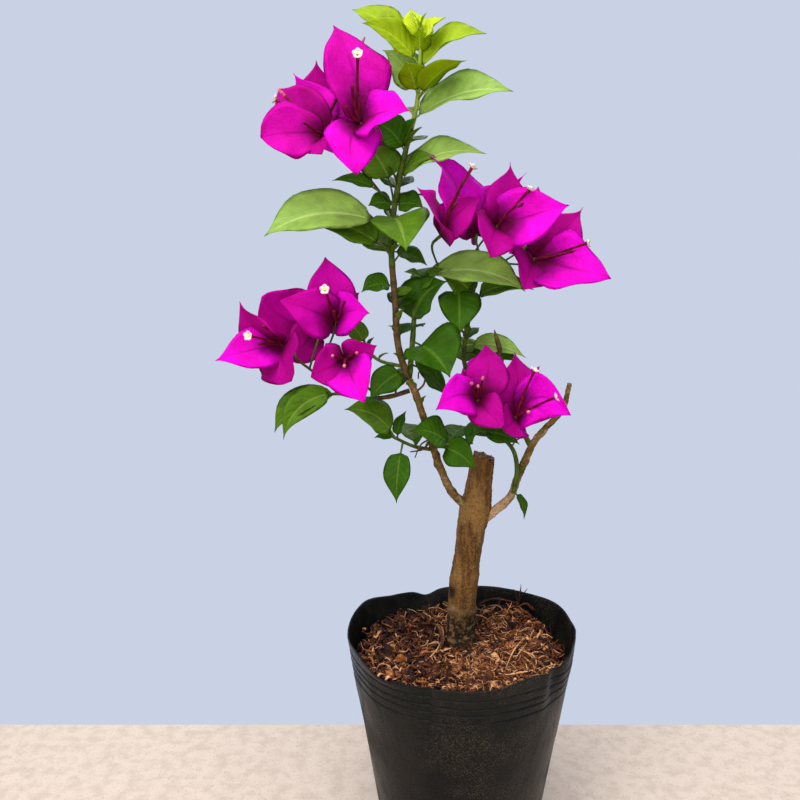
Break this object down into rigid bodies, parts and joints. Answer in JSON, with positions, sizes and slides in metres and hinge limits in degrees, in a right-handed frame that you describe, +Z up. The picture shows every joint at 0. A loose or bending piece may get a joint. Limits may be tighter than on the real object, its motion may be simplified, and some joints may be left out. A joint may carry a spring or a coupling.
{
  "type": "bougainvillea bush",
  "caption": "Small potted bougainvillea: a cut-back woody stump with two boughs, leafy shoots and clusters of magenta bracts, in a soft black nursery pot of coir and bark.",
  "frame": {"origin": "middle of the pot's flat underside", "axes": "+Z up the plant, +X to the right and +Y away from the viewer as the picture sees it"},
  "size_m": [0.2018, 0.1341, 0.4635],
  "materials": {
    "pot": "satin, thin soft plastic",
    "mix": "loose coir and bark chips",
    "bark": "rough bark",
    "leaf": "satin leaf",
    "lime_leaf": "satin young leaf",
    "bract": "papery bract"
  },
  "bodies": {
    "root": {"pot": "pot", "potting_mix": "mix", "trunk": "bark", "left_bough": "bark", "right_bough": "bark", "middle_foliage": "leaf", "upper_foliage": "leaf", "tip_foliage": "lime_leaf", "upper_left_foliage": "leaf", "left_foliage": "leaf", "lower_left_foliage": "leaf", "lower_middle_foliage": "leaf", "centre_foliage": "leaf", "right_foliage": "leaf", "top_blossom": "bract", "right_upper_blossom": "bract", "left_blossom": "bract", "right_lower_blossom": "bract", "right_back_blossom": "bract"}
  },
  "joints": []
}
